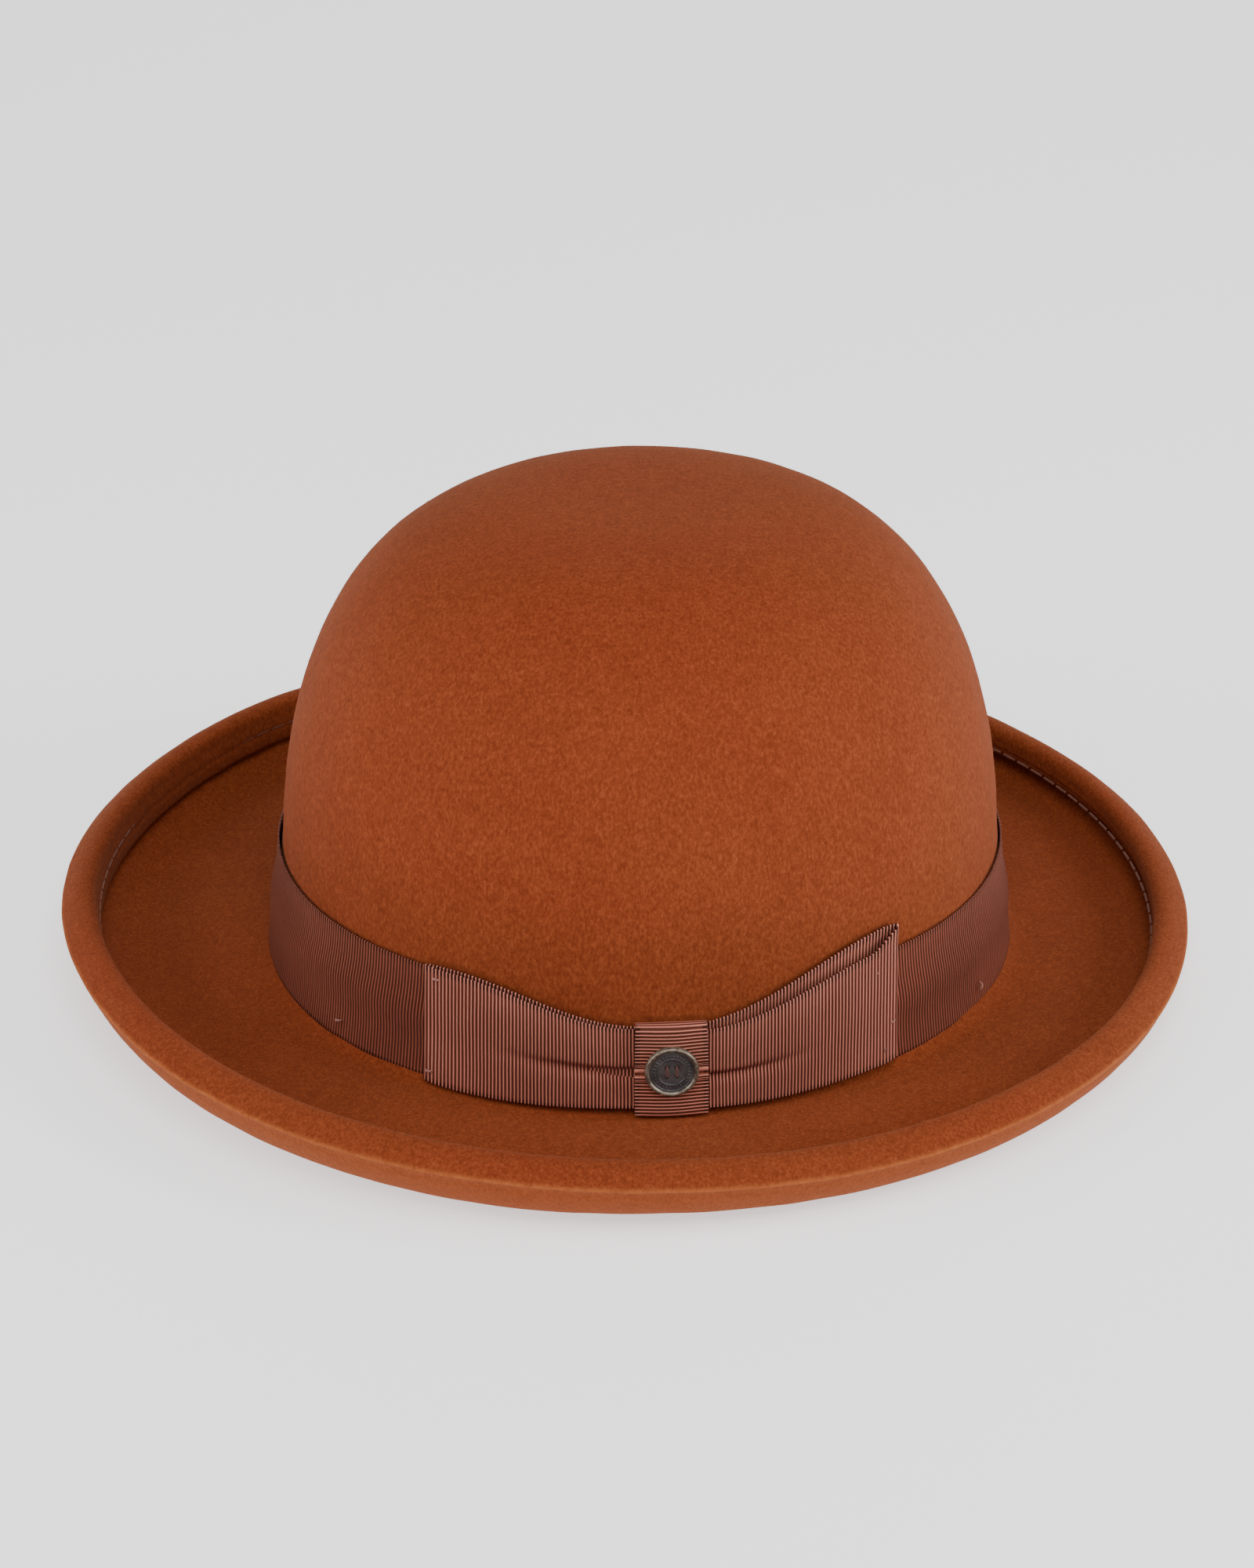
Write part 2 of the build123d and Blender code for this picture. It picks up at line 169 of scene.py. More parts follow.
def curl_point(turn, slope, inset):
    """Point of the brim's curl at a slope, inset from its outer face."""
    radius = CURL_RADIUS - CURL_SWING * math.cos(turn)
    reach = radius * math.sin(CURL_SLOPE) + RIDGE_RISE / math.tan(CURL_SLOPE)
    out = BRIM_PATH_INSET - reach + (radius - inset) * math.sin(slope)
    return brim_point(turn, out, radius - (radius - inset) * math.cos(slope))


def ridge_point(turn, out, up):
    """Point of the turned edge, from the ridge where the edge folds over."""
    radius = CURL_RADIUS - CURL_SWING * math.cos(turn)
    ridge_height = radius * (1 - math.cos(CURL_SLOPE)) + RIDGE_RISE
    return brim_point(turn, BRIM_PATH_INSET + out, ridge_height + up)


def stand_off(turn):
    """How far the cut edge lifts off the brim: most at the back, least at the front."""
    lift = 0.5 + 0.5 * math.cos(turn - math.radians(25))
    wobble = noise.noise(Vector((3 * math.cos(turn), 3 * math.sin(turn), 4)))
    return (0.35 + 1.5 * lift + 0.35 * wobble) * MM


def bezier(start, pull_start, pull_end, end, share):
    """Point along a bezier curve in two coordinates."""
    rest = 1 - share
    weights = (rest**3, 3 * rest**2 * share, 3 * rest * share**2, share**3)
    points = (start, pull_start, pull_end, end)
    return [sum(w * p[axis] for w, p in zip(weights, points)) for axis in (0, 1)]


def spread(count, first=0.0, last=1.0):
    """Evenly spaced numbers from first to last."""
    return [first + (last - first) * k / (count - 1) for k in range(count)]


def smooth(value, low, high):
    """Smooth step from 0 at low to 1 at high."""
    share = max(0.0, min(1.0, (value - low) / (high - low)))
    return share * share * (3 - 2 * share)


def felt_rows():
    """The profile of the felt as rows of points, each row a function of the angle."""
    rows = []
    for tilt in spread(46, 90, 9):
        z = DOME_START + (CROWN_HEIGHT - DOME_START) * math.sin(math.radians(tilt))
        rows.append(lambda turn, z=z: wall_point(turn, z, 0))
    for z in spread(7, 34 * MM, 7.2 * MM):
        rows.append(lambda turn, z=z: wall_point(turn, z, 0))
    for tilt in spread(6, 15, 90):
        bend = math.radians(tilt)
        out = FOOT_RADIUS * (1 - math.cos(bend))
        z = FELT + FOOT_RADIUS * (1 - math.sin(bend))
        rows.append(lambda turn, out=out, z=z: wall_point(turn, z, 0) + outward(turn) * out)
    for share in spread(7, 0.1, 0.94):
        rows.append(lambda turn, share=share: brim_top_point(turn, share))
    for slope in spread(15, 0, math.degrees(UNDERCUT_SLOPE)):
        rows.append(lambda turn, slope=math.radians(slope): curl_point(turn, slope, FELT))
    for share in spread(6, 0.12, 0.94):
        rows.append(lambda turn, share=share: undercut_point(turn, share))
    for share in spread(5, 0.08, 0.92):
        rows.append(lambda turn, share=share: cut_point(turn, share))
    for share in spread(14, 0.02, 0.97):
        rows.append(lambda turn, share=share: flap_point(turn, share))
    for share in spread(8, 0.0, 0.9):
        out, up = bezier(ROLL_START, (-9.7, 3.1), (-8.6, 4.4), ROLL_TOP, share)
        rows.append(lambda turn, out=out, up=up: ridge_point(turn, out * MM, up * MM))
    for share in spread(12, 0.0, 0.97):
        out, up = bezier(ROLL_TOP, (-4.4, 4.4), (-1.9, 2.3), ROLL_END, share)
        rows.append(lambda turn, out=out, up=up: ridge_point(turn, out * MM, up * MM))
    for out, up in ((-0.1, 0.5), (0.0, 0.15), (-0.05, -0.2), (-0.35, -0.5), (-0.75, -0.8)):
        rows.append(lambda turn, out=out, up=up: ridge_point(turn, out * MM, up * MM))
    for slope in spread(16, 72, 0):
        dent = 0.35 * MM * smooth(slope, 40, 70)
        rows.append(lambda turn, slope=math.radians(slope), dent=dent: curl_point(turn, slope, dent))
    for share in spread(7, 0.94, 0.12):
        rows.append(lambda turn, share=share: brim_under_point(turn, share))
    for tilt in spread(6, 0, 90):
        bend = math.radians(tilt)
        out = -FELT + MOUTH_RADIUS * (1 - math.sin(bend))
        z = MOUTH_RADIUS * (1 - math.cos(bend))
        rows.append(lambda turn, out=out, z=z: wall_point(turn, z, out))
    for z in spread(5, 6 * MM, 34 * MM):
        rows.append(lambda turn, z=z: wall_point(turn, z, -FELT))
    for tilt in spread(26, 9, 90):
        z = DOME_START + (CROWN_HEIGHT - FELT - DOME_START) * math.sin(math.radians(tilt))
        rows.append(lambda turn, z=z: wall_point(turn, z, -FELT))
    return rows


def brim_top_point(turn, share):
    """Point of the flat top of the brim, from the crown's foot to the curl."""
    foot = wall_point(turn, FELT, 0) + outward(turn) * FOOT_RADIUS
    return foot.lerp(curl_point(turn, 0, FELT), share)


def brim_under_point(turn, share):
    """Point of the flat underside of the brim, from the mouth to the curl."""
    return wall_point(turn, 0, 0).lerp(curl_point(turn, 0, 0), share)


def undercut_point(turn, share):
    """Point of the turned edge's hidden face, from where it meets the brim to its cut."""
    slope = UNDERCUT_SLOPE + (FLAP_SLOPE - UNDERCUT_SLOPE) * share
    return curl_point(turn, slope, FELT + 0.05 * MM + stand_off(turn) * share**1.3)


def cut_point(turn, share):
    """Point of the raw cut end of the turned edge."""
    round_off = 0.012 * (1 - (2 * share - 1) ** 2)
    return curl_point(turn, FLAP_SLOPE - round_off, FELT + stand_off(turn) + (FELT - 0.2 * MM) * share)


def flap_point(turn, share):
    """Point of the turned edge's seen face, from its cut up to the roll, with the stitch groove."""
    end = curl_point(turn, FLAP_SLOPE, FELT * 2 + stand_off(turn) - 0.1 * MM)
    top = ridge_point(turn, ROLL_START[0] * MM, ROLL_START[1] * MM)
    groove = 0.32 * MM * math.exp(-(((share - 0.5) / 0.07) ** 2))
    swell = 0.4 * MM * math.sin(math.pi * share)
    return end.lerp(top, share) + (brim_point(turn, 1, 0) - brim_point(turn, 0, 0)) * (groove - swell)


def shaped_grid(name, columns, rows, place):
    """A flat grid with every point moved to place(u, v), and its meeting edges merged."""
    bpy.ops.object.select_all(action="DESELECT")
    bpy.ops.mesh.primitive_grid_add(x_subdivisions=columns, y_subdivisions=rows, size=1, location=(0, 0, 0))
    piece = bpy.context.object
    piece.name = name
    for vertex in piece.data.vertices:
        vertex.co = place(vertex.co.x + 0.5, vertex.co.y + 0.5)
    bpy.ops.object.mode_set(mode="EDIT")
    bpy.ops.mesh.select_all(action="SELECT")
    bpy.ops.mesh.remove_doubles(threshold=0.01 * MM)
    bpy.ops.object.mode_set(mode="OBJECT")
    bpy.ops.object.shade_smooth()
    return piece


def normals_outward(piece):
    """Point the faces of a closed shell outward."""
    bpy.ops.object.select_all(action="DESELECT")
    piece.select_set(True)
    bpy.context.view_layer.objects.active = piece
    bpy.ops.object.mode_set(mode="EDIT")
    bpy.ops.mesh.select_all(action="SELECT")
    bpy.ops.mesh.normals_make_consistent(inside=False)
    bpy.ops.object.mode_set(mode="OBJECT")


noise.seed_set(NOISE_SEED)  # until it is seeded, noise_vector takes its offsets from the clock


def hand_shaped(point, amount, size, seed):
    """A point moved a little, as felt and cloth shaped by hand are never quite even."""
    return point + noise.noise_vector(point / size + Vector((seed, seed, seed))) * amount


felt_profile = felt_rows()


def felt_place(u, v):
    """Point of the felt's skin."""
    row = felt_profile[round(v * (len(felt_profile) - 1))]
    point = row(2 * math.pi * u)
    point = hand_shaped(point, 0.55 * MM, 60 * MM, 3)
    point = hand_shaped(point, 0.14 * MM, 9 * MM, 7)
    point.z = max(point.z, FLOOR_GAP)
    return point


felt = shaped_grid("felt_crown_and_brim", 288, len(felt_profile) - 1, felt_place)
normals_outward(felt)


class Nodes:
    """Short way to add and join a material's nodes."""

    def __init__(self, name):
        self.material = bpy.data.materials.new(name)
        self.material.use_nodes = True
        self.tree = self.material.node_tree
        self.shader = self.tree.nodes["Principled BSDF"]

    def add(self, kind, **settings):
        node = self.tree.nodes.new(kind)
        for key, value in settings.items():
            setattr(node, key, value)
        return node

    def feed(self, socket, value):
        if isinstance(value, bpy.types.NodeSocket):
            self.tree.links.new(value, socket)
        else:
            socket.default_value = value

    def math(self, operation, first, second=0.0, third=0.0):
        node = self.add("ShaderNodeMath", operation=operation)
        for socket, value in zip(node.inputs, (first, second, third)):
            self.feed(socket, value)
        return node.outputs[0]

    def mapped(self, vector, scale):
        node = self.add("ShaderNodeMapping")
        self.feed(node.inputs["Vector"], vector)
        node.inputs["Scale"].default_value = scale
        return node.outputs["Vector"]

    def noise(self, vector, scale, detail=2.0, roughness=0.5):
        node = self.add("ShaderNodeTexNoise")
        self.feed(node.inputs["Vector"], vector)
        node.inputs["Scale"].default_value = scale
        node.inputs["Detail"].default_value = detail
        node.inputs["Roughness"].default_value = roughness
        return node.outputs["Fac"]

    def blend(self, share, first, second, kind="MIX"):
        node = self.add("ShaderNodeMix", data_type="RGBA", blend_type=kind)
        self.feed(node.inputs["Factor"], share)
        for name, colour in (("A", first), ("B", second)):
            self.feed(next(s for s in node.inputs if s.type == "RGBA" and s.name == name), colour)
        return next(s for s in node.outputs if s.type == "RGBA")

    def ramp(self, value, stops):
        node = self.add("ShaderNodeValToRGB")
        self.feed(node.inputs["Fac"], value)
        ends = node.color_ramp.elements
        for k, (at, colour) in enumerate(stops):
            stop = ends[k] if k < 2 else ends.new(at)
            stop.position = at
            stop.color = colour if len(colour) == 4 else (*colour, 1)
        return node.outputs["Color"]

    def bump(self, height, strength, distance, under=None):
        node = self.add("ShaderNodeBump")
        self.feed(node.inputs["Height"], height)
        node.inputs["Strength"].default_value = strength
        node.inputs["Distance"].default_value = distance
        if under is not None:
            self.feed(node.inputs["Normal"], under)
        return node.outputs["Normal"]


def outermost_share():
    """Place along the felt's profile, from 0 to 1, of its outermost row."""
    reach = [row(math.pi / 2).y for row in felt_profile]
    return reach.index(max(reach)) / (len(reach) - 1)


def wool_felt():
    """Dyed wool felt: short matted fibres, darker and redder in the hollows of the nap.
    The fold's ridge has a painted highlight along it, and the felt below it is more orange."""
    n = Nodes("wool_felt")
    place = n.add("ShaderNodeTexCoord").outputs["Object"]
    apart = n.add("ShaderNodeSeparateXYZ")
    n.feed(apart.inputs[0], n.add("ShaderNodeTexCoord").outputs["UV"])
    along = apart.outputs[1]
    streaked = n.mapped(place, (1, 1, 0.5))
    fibres = n.noise(streaked, 1350, 4, 0.78)
    mottle = n.noise(place, 430, 3, 0.65)
    clouds = n.noise(place, 45, 4, 0.6)
    broad = n.noise(place, 9, 2, 0.5)
    tone = n.math("ADD", n.math("MULTIPLY", fibres, 0.76), n.math("MULTIPLY", mottle, 0.15))
    tone = n.math("ADD", tone, n.math("MULTIPLY", clouds, 0.09))
    colour = n.ramp(tone, (
        (0.36, (0.138, 0.0225, 0.0066)),
        (0.66, (0.292, 0.0655, 0.0215)),
        (0.5, (0.203, 0.0378, 0.0118)),
    ))
    warm = n.ramp(broad, ((0.35, (1.0, 0.94, 0.95)), (0.65, (1.0, 1.07, 1.04))))
    colour = n.blend(1.0, colour, warm, "MULTIPLY")
    # Painted highlight: a lighter line along the fold's ridge, where light catches the fuzz on the crest.
    ridge = n.math("ABSOLUTE", n.math("SUBTRACT", along, outermost_share()))
    ridge_highlight = n.ramp(ridge, ((0.004, (1, 1, 1)), (0.013, (0, 0, 0))))
    ridge_highlight = n.math("MULTIPLY", ridge_highlight, n.math("MULTIPLY", mottle, 0.9))
    colour = n.blend(ridge_highlight, colour, (0.42, 0.125, 0.035, 1))
    below = n.ramp(along, ((outermost_share(), (0, 0, 0)), (outermost_share() + 0.006, (1, 1, 1))))
    colour = n.blend(n.math("MULTIPLY", below, 0.35), colour, (0.235, 0.058, 0.0125, 1))
    n.feed(n.shader.inputs["Base Color"], colour)
    n.shader.inputs["Roughness"].default_value = 0.95
    n.shader.inputs["Specular IOR Level"].default_value = 0.1
    n.shader.inputs["Sheen Weight"].default_value = 0.12
    n.shader.inputs["Sheen Roughness"].default_value = 0.5
    n.shader.inputs["Sheen Tint"].default_value = (1.0, 0.5, 0.26, 1)
    nap = n.bump(fibres, 0.85, 0.3 * MM)
    nap = n.bump(mottle, 0.5, 0.5 * MM, nap)
    n.feed(n.shader.inputs["Normal"], nap)
    return n.material


felt.data.materials.append(wool_felt())
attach(felt, "root")
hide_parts("felt_body")


# Nap: loose wool fibres that stand a little out of the felt, thickest along the turned edge.
# Each is a thin bent fibre, rooted just under the felt's skin.
NAP_FIBRES = 12000
FIBRE_THICKNESS = 0.055 * MM
EDGE_ZONE = 0.84  # share of the brim's oval past which the felt is rubbed up
chance = random.Random(11)


def edge_share(point):
    """How near a point is to the brim's edge, 1 on the oval of the edge."""
    return (point.x / BRIM_LONG) ** 2 + (point.y / BRIM_SHORT) ** 2


def fibre_ring(centre, side, up):
    """Three points round a fibre."""
    turns = [2 * math.pi * k / 3 for k in range(3)]
    return [centre + (side * math.cos(t) + up * math.sin(t)) * FIBRE_THICKNESS / 2 for t in turns]


nap_points = []
nap_faces = []
seen_faces = [face for face in felt.data.polygons if face.normal.z > -0.5]
weights = [face.area * (3 if edge_share(face.center) > EDGE_ZONE else 1) for face in seen_faces]
for face in chance.choices(seen_faces, weights=weights, k=NAP_FIBRES):
    out = face.normal.copy()
    corners = [felt.data.vertices[index].co for index in face.vertices]
    root = corners[0].lerp(corners[2], chance.random()).lerp(corners[1], chance.uniform(0, 0.5))
    lay = (Matrix.Rotation(chance.uniform(0, 2 * math.pi), 3, out) @ out.orthogonal()).normalized()
    length = chance.uniform(0.5, 1.5) * MM
    lift = chance.uniform(0.08, 0.34) * MM
    if root.z < 1 * MM:
        continue
    bend = out.cross(lay) * chance.uniform(-0.3, 0.3) * length
    middle = root + lay * length * 0.5 + out * lift
    tip = root + lay * length + bend + out * lift * chance.uniform(0.2, 1.6)
    first = len(nap_points)
    nap_points += fibre_ring(root - out * 0.1 * MM, out.cross(lay), out)
    nap_points += fibre_ring(middle, out.cross(lay), out)
    nap_points.append(tip)
    nap_faces.append((first + 2, first + 1, first))
    for k in range(3):
        after = (k + 1) % 3
        nap_faces.append((first + k, first + after, first + 3 + after, first + 3 + k))
        nap_faces.append((first + 3 + k, first + 3 + after, first + 6))
nap_mesh = bpy.data.meshes.new("felt_nap")
nap_mesh.from_pydata(nap_points, [], nap_faces)
nap = bpy.data.objects.new("felt_nap", nap_mesh)
bpy.context.collection.objects.link(nap)
normals_outward(nap)


def nap_wool():
    """Loose wool, paler than the felt because light gets through each fibre."""
    n = Nodes("nap_wool")
    place = n.add("ShaderNodeTexCoord").outputs["Object"]
    tone = n.noise(place, 500, 2, 0.6)
    colours = ((0.35, (0.22, 0.050, 0.016)), (0.7, (0.50, 0.185, 0.075)))
    n.feed(n.shader.inputs["Base Color"], n.ramp(tone, colours))
    n.shader.inputs["Roughness"].default_value = 0.85
    n.shader.inputs["Specular IOR Level"].default_value = 0.15
    return n.material


nap.data.materials.append(nap_wool())
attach(nap, "root")


# Band: grosgrain ribbon laid round the foot of the crown and tacked down.
# Its ribs run up and down, its edges are woven selvedges, and it is gathered at the bow.
RIB_PITCH = 0.97 * MM
RIBBON = 0.5 * MM
BAND_BOTTOM = 3.9 * MM
BAND_TOP = 36.4 * MM
knot_low, knot_high = [Vector(corner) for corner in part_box("bow_knot")]
BOW_MIDDLE = (knot_low.x + knot_high.x) / 2
KNOT_WIDTH = knot_high.x - knot_low.x
GATHERED_TOP = knot_high.z - 2.5 * MM


def running_lengths(points):
    """Length along a line of points, at each of them."""
    lengths = [0.0]
    for here, after in zip(points, points[1:]):
        lengths.append(lengths[-1] + (after - here).length)
    return lengths


def step_at(lengths, want):
    """Step, with its fraction, at which running lengths reach a length."""
    low = min(bisect.bisect_right(lengths, want), len(lengths) - 1) - 1
    return low + (want - lengths[low]) / (lengths[low + 1] - lengths[low])


BAND_STEPS = 1440
band_lengths = running_lengths(
    [wall_point(2 * math.pi * k / BAND_STEPS, 20 * MM, 0) for k in range(BAND_STEPS + 1)])
BAND_LENGTH = band_lengths[-1]


def turn_at(share):
    """Angle of the crown's oval at a share of the way round it by length."""
    whole = math.floor(share)
    step = step_at(band_lengths, (share - whole) * BAND_LENGTH)
    return 2 * math.pi * (whole + step / BAND_STEPS)


def gather(x):
    """How much the ribbon is drawn in towards the knot at a place along it."""
    half = KNOT_WIDTH / 2
    left = smooth(x, BOW_MIDDLE - half - 46 * MM, BOW_MIDDLE - half)
    right = 1 - smooth(x, BOW_MIDDLE + half, BOW_MIDDLE + half + 34 * MM)
    return left * right


def band_place(u, v):
    """Point of the band's outer face, with the soft wave that a tacked ribbon keeps."""
    turn = turn_at(u)
    foot = wall_point(turn, BAND_BOTTOM, 0)
    drawn = gather(foot.x) if foot.y < 0 else 0.0
    top = BAND_TOP + (GATHERED_TOP - BAND_TOP) * drawn
    z = BAND_BOTTOM + (top - BAND_BOTTOM) * v
    wave = noise.noise(Vector((math.cos(turn) * 2.2, math.sin(turn) * 2.2, 1.7)))
    crest = 0.52 + 0.12 * wave
    bulge = 0.85 * MM * math.exp(-(((v - crest) / 0.17) ** 2))
    stand = (0.75 + 0.25 * wave) * MM + 0.35 * MM * v**4
    return wall_point(turn, z, stand + bulge)


def thickened(piece, thickness):
    """Give a single skin its thickness, inward from its face."""
    bpy.ops.object.select_all(action="DESELECT")
    piece.select_set(True)
    bpy.context.view_layer.objects.active = piece
    thick = piece.modifiers.new("thickness", "SOLIDIFY")
    thick.thickness = thickness
    thick.offset = -1
    bpy.ops.object.modifier_apply(modifier=thick.name)


RIB_SHARPNESS = 2.1
# Ribbon colours from the gap between ribs to the rib top: the dark end is painted shade and the bright end
# a painted highlight.
BAND_SHADE_TO_HIGHLIGHT = ((0.020, 0.0030, 0.0016), (0.178, 0.0400, 0.0222), (0.460, 0.128, 0.077))
# The bow's colours are a painted-lit copy of the band's for the same ribbon: brighter throughout, with a
# stronger painted highlight on the rib tops.
BOW_LIT_SHADE_TO_HIGHLIGHT = ((0.014, 0.0022, 0.0012), (0.250, 0.0590, 0.0360), (0.960, 0.350, 0.250))


def grosgrain(name, length, width, ribs_along=True, shade_to_highlight=BAND_SHADE_TO_HIGHLIGHT):
    """Grosgrain ribbon: round ribs across it, fine warp threads along it, and zigzag selvedges, with
    painted shade in the gaps between the ribs and a painted highlight on their tops.
    """
    n = Nodes(name)
    place = n.add("ShaderNodeTexCoord").outputs["UV"]
    apart = n.add("ShaderNodeSeparateXYZ")
    n.feed(apart.inputs[0], place)
    along = apart.outputs[0] if ribs_along else apart.outputs[1]
    across = apart.outputs[1] if ribs_along else apart.outputs[0]
    rib_turns = n.math("MULTIPLY", along, length / RIB_PITCH)
    wander = n.noise(n.mapped(place, (length * 90, width * 40, 1)), 1, 2)
    rib_turns = n.math("ADD", rib_turns, n.math("MULTIPLY", wander, 0.5))
    rib = n.math("ABSOLUTE", n.math("SINE", n.math("MULTIPLY", rib_turns, math.pi)))
    rib = n.math("POWER", rib, RIB_SHARPNESS)
    warp = n.math("MULTIPLY", across, width / (0.24 * MM))
    warp = n.math("ADD", warp, n.math("MULTIPLY", n.math("FLOOR", rib_turns), 0.5))
    thread = n.math("ABSOLUTE", n.math("SINE", n.math("MULTIPLY", warp, math.pi)))
    edge = n.math("ABSOLUTE", n.math("SUBTRACT", across, 0.5))
    selvedge = n.math("GREATER_THAN", edge, 0.5 - 1.3 * MM / width)
    zigzag = n.math("PINGPONG", n.math("MULTIPLY", rib_turns, 1.0), 0.5)
    height = n.math("ADD", n.math("MULTIPLY", rib, 0.75), n.math("MULTIPLY", thread, 0.25))
    height = n.math("ADD", height, n.math("MULTIPLY", selvedge, n.math("SUBTRACT", zigzag, 0.35)))
    fade = n.noise(n.mapped(place, (length * 25, width * 30, 1)), 1, 3)
    shade = n.math("ADD", n.math("MULTIPLY", height, 0.8), n.math("MULTIPLY", fade, 0.28))
    # Painted shade and highlight: the colour darkens into the rib gaps and lightens to a highlight on the
    # rib tops.
    colour = n.ramp(shade, (
        (0.18, shade_to_highlight[0]),
        (0.95, shade_to_highlight[2]),
        (0.6, shade_to_highlight[1]),
    ))
    n.feed(n.shader.inputs["Base Color"], colour)
    n.shader.inputs["Roughness"].default_value = 0.48
    n.shader.inputs["Specular IOR Level"].default_value = 0.3
    n.shader.inputs["Specular Tint"].default_value = (1.0, 0.62, 0.5, 1)
    n.shader.inputs["Sheen Weight"].default_value = 0.06
    n.shader.inputs["Sheen Roughness"].default_value = 0.4
    n.shader.inputs["Sheen Tint"].default_value = (1.0, 0.55, 0.42, 1)
    n.feed(n.shader.inputs["Normal"], n.bump(height, 1.0, 0.45 * MM))
    return n.material


band = shaped_grid("band_ribbon", 480, 22, band_place)
thickened(band, RIBBON)
band.data.materials.append(grosgrain("grosgrain_band", BAND_LENGTH, 32 * MM))
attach(band, "root")
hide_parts("hat_band")


# Bow loops: one ribbon folded flat into a loop on each side of the knot.
# Each loop's ends are drawn together under the knot, so its folds fan out from there.
def loop_turn(x, out):
    """Angle on the -Y side of the crown wall at a place along X."""
    return -math.acos(max(-1, min(1, (x - CROWN_SHIFT) / (CROWN_LONG + 2 * MM + out))))


def loop_wall(x, z, out):
    """Point out from the crown wall on the bow's side."""
    return wall_point(loop_turn(x, out), z, out)


FOLD_SHARE = 0.06


def left_loop_place(u, v):
    """Point of the left loop, from its back layer round the end fold to its front layer."""
    reach = abs(2 * u - 1)
    side = 1 if u > 0.5 else -1
    start = BOW_MIDDLE - KNOT_WIDTH / 2 + 4 * MM
    end = -54.5 * MM - 1.6 * MM * v
    x = end + (start - end) * reach
    pinch = smooth(reach, 0.12, 0.93)
    low = BAND_BOTTOM + (0.4 + 1.0 * pinch) * MM
    high = (37.6 - 9.6 * pinch) * MM
    z = low + (high - low) * v
    pleat = math.exp(-(((v - 0.47 + 0.05 * reach) / (0.035 + 0.045 * reach)) ** 2))
    lift = 0.85 * MM * min(1.0, reach / FOLD_SHARE) ** 0.5
    middle = (2.2 + 0.3 * pinch) * MM
    puff = 1.3 * MM * math.sin(math.pi * min(1, reach * 1.05)) * (0.4 + 0.6 * math.sin(math.pi * v) ** 0.6)
    tuck = 2.3 * MM * pleat * smooth(reach, 0.2, 0.85)
    if side > 0:
        out = middle + lift + puff - tuck
    else:
        out = middle - lift
    return loop_wall(x, z, out)


def right_loop_place(u, v):
    """Point of the right loop, whose end rides up past the band's top edge."""
    reach = abs(2 * u - 1)
    side = 1 if u > 0.5 else -1
    start = BOW_MIDDLE + KNOT_WIDTH / 2 - 4 * MM
    end = (66.4 + 2.4 * v) * MM
    x = end + (start - end) * reach
    pinch = smooth(reach, 0.05, 0.95)
    rise = 4.8 * MM * (1 - reach) ** 0.7 if side < 0 else 4.0 * MM * smooth(0.14 - reach, 0, 0.14)
    low = BAND_BOTTOM + (2.4 - 1.2 * pinch) * MM
    high = (39.5 - 12 * pinch) * MM
    z = low + (high - low) * v + rise * v
    lift = 0.9 * MM * min(1.0, reach / FOLD_SHARE) ** 0.5
    middle = (2.4 + 0.3 * pinch) * MM
    fullness = 0.35 + 0.65 * math.sin(math.pi * v) ** 0.6
    puff = 1.5 * MM * math.sin(math.pi * min(1, reach * 1.05)) * fullness
    crease = math.exp(-(((v - 0.44 + 0.06 * reach) / 0.06) ** 2)) * smooth(reach, 0.3, 0.9)
    if side > 0:
        out = middle + lift + puff - 2.1 * MM * crease
    else:
        out = middle - lift
    return loop_wall(x, z, out)


def strip_length(place):
    """Length of a ribbon along its middle."""
    return running_lengths([place(k / 90, 0.5) for k in range(91)])[-1]


def make_loop(name, place, node):
    """One loop of the bow, in ribbon of its own."""
    loop = shaped_grid(name, 180, 64, place)
    thickened(loop, RIBBON)
    length = strip_length(place)
    # The loops take the painted-lit copy of the ribbon's colours.
    loop.data.materials.append(grosgrain("grosgrain_" + name, length, 30 * MM, shade_to_highlight=BOW_LIT_SHADE_TO_HIGHLIGHT))
    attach(loop, "root")
    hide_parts(node)


make_loop("bow_loop_left", left_loop_place, "bow_left_loop")
make_loop("bow_loop_right", right_loop_place, "bow_right_loop")


# Knot: a short piece of the same ribbon wrapped once round the bow and sewn behind.
# Its ribs lie level, because the ribbon runs up and down here.
def knot_place(u, v):
    """Point of the knot: u goes once round the bow, v goes across its width."""
    turn = 2 * math.pi * u
    half_height = (knot_high.z - knot_low.z) / 2
    middle_z = (knot_high.z + knot_low.z) / 2
    up = math.sin(turn)
    out = math.cos(turn)
    z = middle_z + half_height * math.copysign(abs(up) ** 0.35, up)
    squared = math.copysign(abs(out) ** 0.3, out)
    away = (3.0 + 1.55 * squared) * MM
    x = BOW_MIDDLE + (v - 0.5) * KNOT_WIDTH * (1 - 0.02 * abs(up))
    roll = 0.22 * MM * math.cos(2 * math.pi * (v - 0.5))
    return loop_wall(x, z, away + roll * squared)


KNOT_STEPS = 720
knot_lengths = running_lengths([knot_place(k / KNOT_STEPS, 0.5) for k in range(KNOT_STEPS + 1)])
knot_length = knot_lengths[-1]


def even_knot_place(u, v):
    """Point of the knot at a share u of its own length, so that its ribs are evenly spaced."""
    return knot_place(step_at(knot_lengths, u * knot_length) / KNOT_STEPS, v)


knot = shaped_grid("bow_knot_wrap", 160, 20, even_knot_place)
thickened(knot, RIBBON)
# The knot also takes the painted-lit copy of the ribbon's colours.
knot.data.materials.append(grosgrain("grosgrain_knot", knot_length, 19 * MM, shade_to_highlight=BOW_LIT_SHADE_TO_HIGHLIGHT))
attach(knot, "root")
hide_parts("bow_knot")


